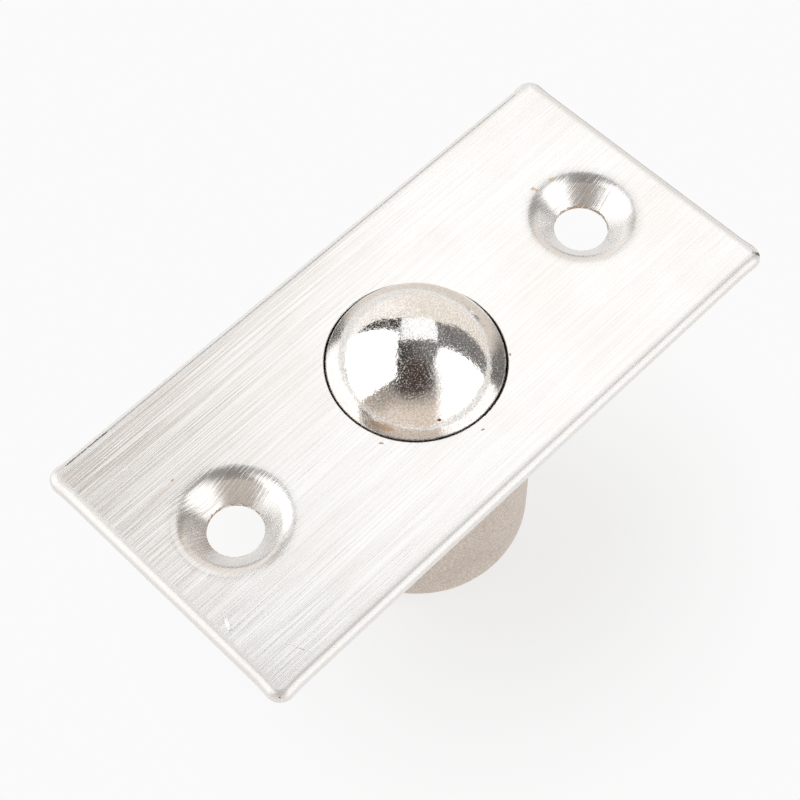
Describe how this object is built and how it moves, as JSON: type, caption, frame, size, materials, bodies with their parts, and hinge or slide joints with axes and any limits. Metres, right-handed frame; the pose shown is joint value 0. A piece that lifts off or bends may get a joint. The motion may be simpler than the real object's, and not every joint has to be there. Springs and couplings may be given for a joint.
{
  "type": "door ball catch",
  "caption": "Ball catch for a door edge: a thin sheet face plate with countersunk screw holes, a closed round barrel behind it and a sprung ball that stands proud.",
  "frame": {"origin": "on the ball's and the barrel's axis, in the plane of the lower edge of the face plate's turned-down rim, which seats on the door", "axes": "+Z out of the plate's face, along the ball's travel; +X along the plate, through both screw holes"},
  "size_m": [0.0572, 0.0276, 0.0313],
  "materials": {
    "plate_steel": "fine brushed lines along the plate, lightly worn",
    "barrel_steel": "matt, fine grained, as drawn",
    "ball_chrome": "bright plating with fine pitting and a trace of rust low down",
    "spring_steel": "drawn spring wire, ends ground flat"
  },
  "bodies": {
    "housing": {"face_plate": "plate_steel", "barrel": "barrel_steel"},
    "spring": {"spring": "spring_steel"},
    "ball": {"ball": "ball_chrome"}
  },
  "joints": [
    {"name": "ball_press", "type": "slide", "parent": "housing", "child": "spring", "axis": [0, 0, -1], "range_m": [0, 0.005], "stiffness_N_per_m": 2400, "springref_m": -0.0035, "deforming": ["spring"]},
    {"name": "ball_roll", "type": "hinge", "parent": "spring", "child": "ball", "pos_m": [0, 0, -0.00202], "axis": [1, 0, 0], "continuous": true}
  ]
}
